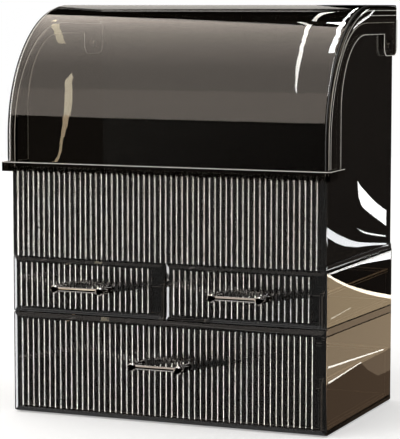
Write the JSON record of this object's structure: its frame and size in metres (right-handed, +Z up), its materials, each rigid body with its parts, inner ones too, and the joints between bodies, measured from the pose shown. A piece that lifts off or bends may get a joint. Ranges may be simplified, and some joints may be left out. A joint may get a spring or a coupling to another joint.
{
  "type": "makeup organizer",
  "caption": "Vanity organizer with reeded drawers below an open display box, and a curved clear hood hinged at the rear that swings up over the display.",
  "frame": {"origin": "on the table, midway across the organizer and midway in depth between the ends of the handles and the rear lip of the lid", "axes": "+X to the right seen from the front, +Y towards the back, +Z up; the drawers open towards -Y"},
  "size_m": [0.2956, 0.2058, 0.351],
  "materials": {
    "smoked_plastic": "polished, dark smoked and almost opaque",
    "brown_smoked_plastic": "polished, smoked brown and see-through",
    "clear_plastic": "polished and clear with a light smoke tint",
    "black_plastic": "polished, opaque black",
    "steel": "plain",
    "rubber": "soft, see-through grey"
  },
  "bodies": {
    "organizer": {"base_plate": "black_plastic", "cabinet_left_side": "brown_smoked_plastic", "cabinet_right_side": "brown_smoked_plastic", "cabinet_back": "black_plastic", "cabinet_top": "brown_smoked_plastic", "drawer_shelf": "brown_smoked_plastic", "drawer_partition": "brown_smoked_plastic", "anti_slip_feet": "rubber", "display_floor": "black_plastic", "locating_pegs": "black_plastic", "display_left_wall": "clear_plastic", "display_right_wall": "clear_plastic", "display_back": "black_plastic", "display_front": "smoked_plastic", "left_hinge_pin": "steel", "right_hinge_pin": "steel"},
    "lid": {"lid": "clear_plastic"},
    "large_drawer": {"large_drawer_front": "smoked_plastic", "large_drawer_tray": "clear_plastic", "large_drawer_handle": "black_plastic", "large_handle_screws": "steel"},
    "left_drawer": {"left_drawer_front": "smoked_plastic", "left_drawer_tray": "clear_plastic", "left_drawer_handle": "black_plastic", "left_handle_screws": "steel"},
    "right_drawer": {"right_drawer_front": "smoked_plastic", "right_drawer_tray": "clear_plastic", "right_drawer_handle": "black_plastic", "right_handle_screws": "steel"}
  },
  "joints": [
    {"name": "lid_hinge", "type": "hinge", "parent": "organizer", "child": "lid", "pos_m": [0, 0.0776, 0.3161], "axis": [-1, 0, 0], "range_deg": [0, 95]},
    {"name": "large_drawer_slide", "type": "slide", "parent": "organizer", "child": "large_drawer", "axis": [0, -1, 0], "range_m": [0, 0.12]},
    {"name": "left_drawer_slide", "type": "slide", "parent": "organizer", "child": "left_drawer", "axis": [0, -1, 0], "range_m": [0, 0.12]},
    {"name": "right_drawer_slide", "type": "slide", "parent": "organizer", "child": "right_drawer", "axis": [0, -1, 0], "range_m": [0, 0.12]}
  ]
}
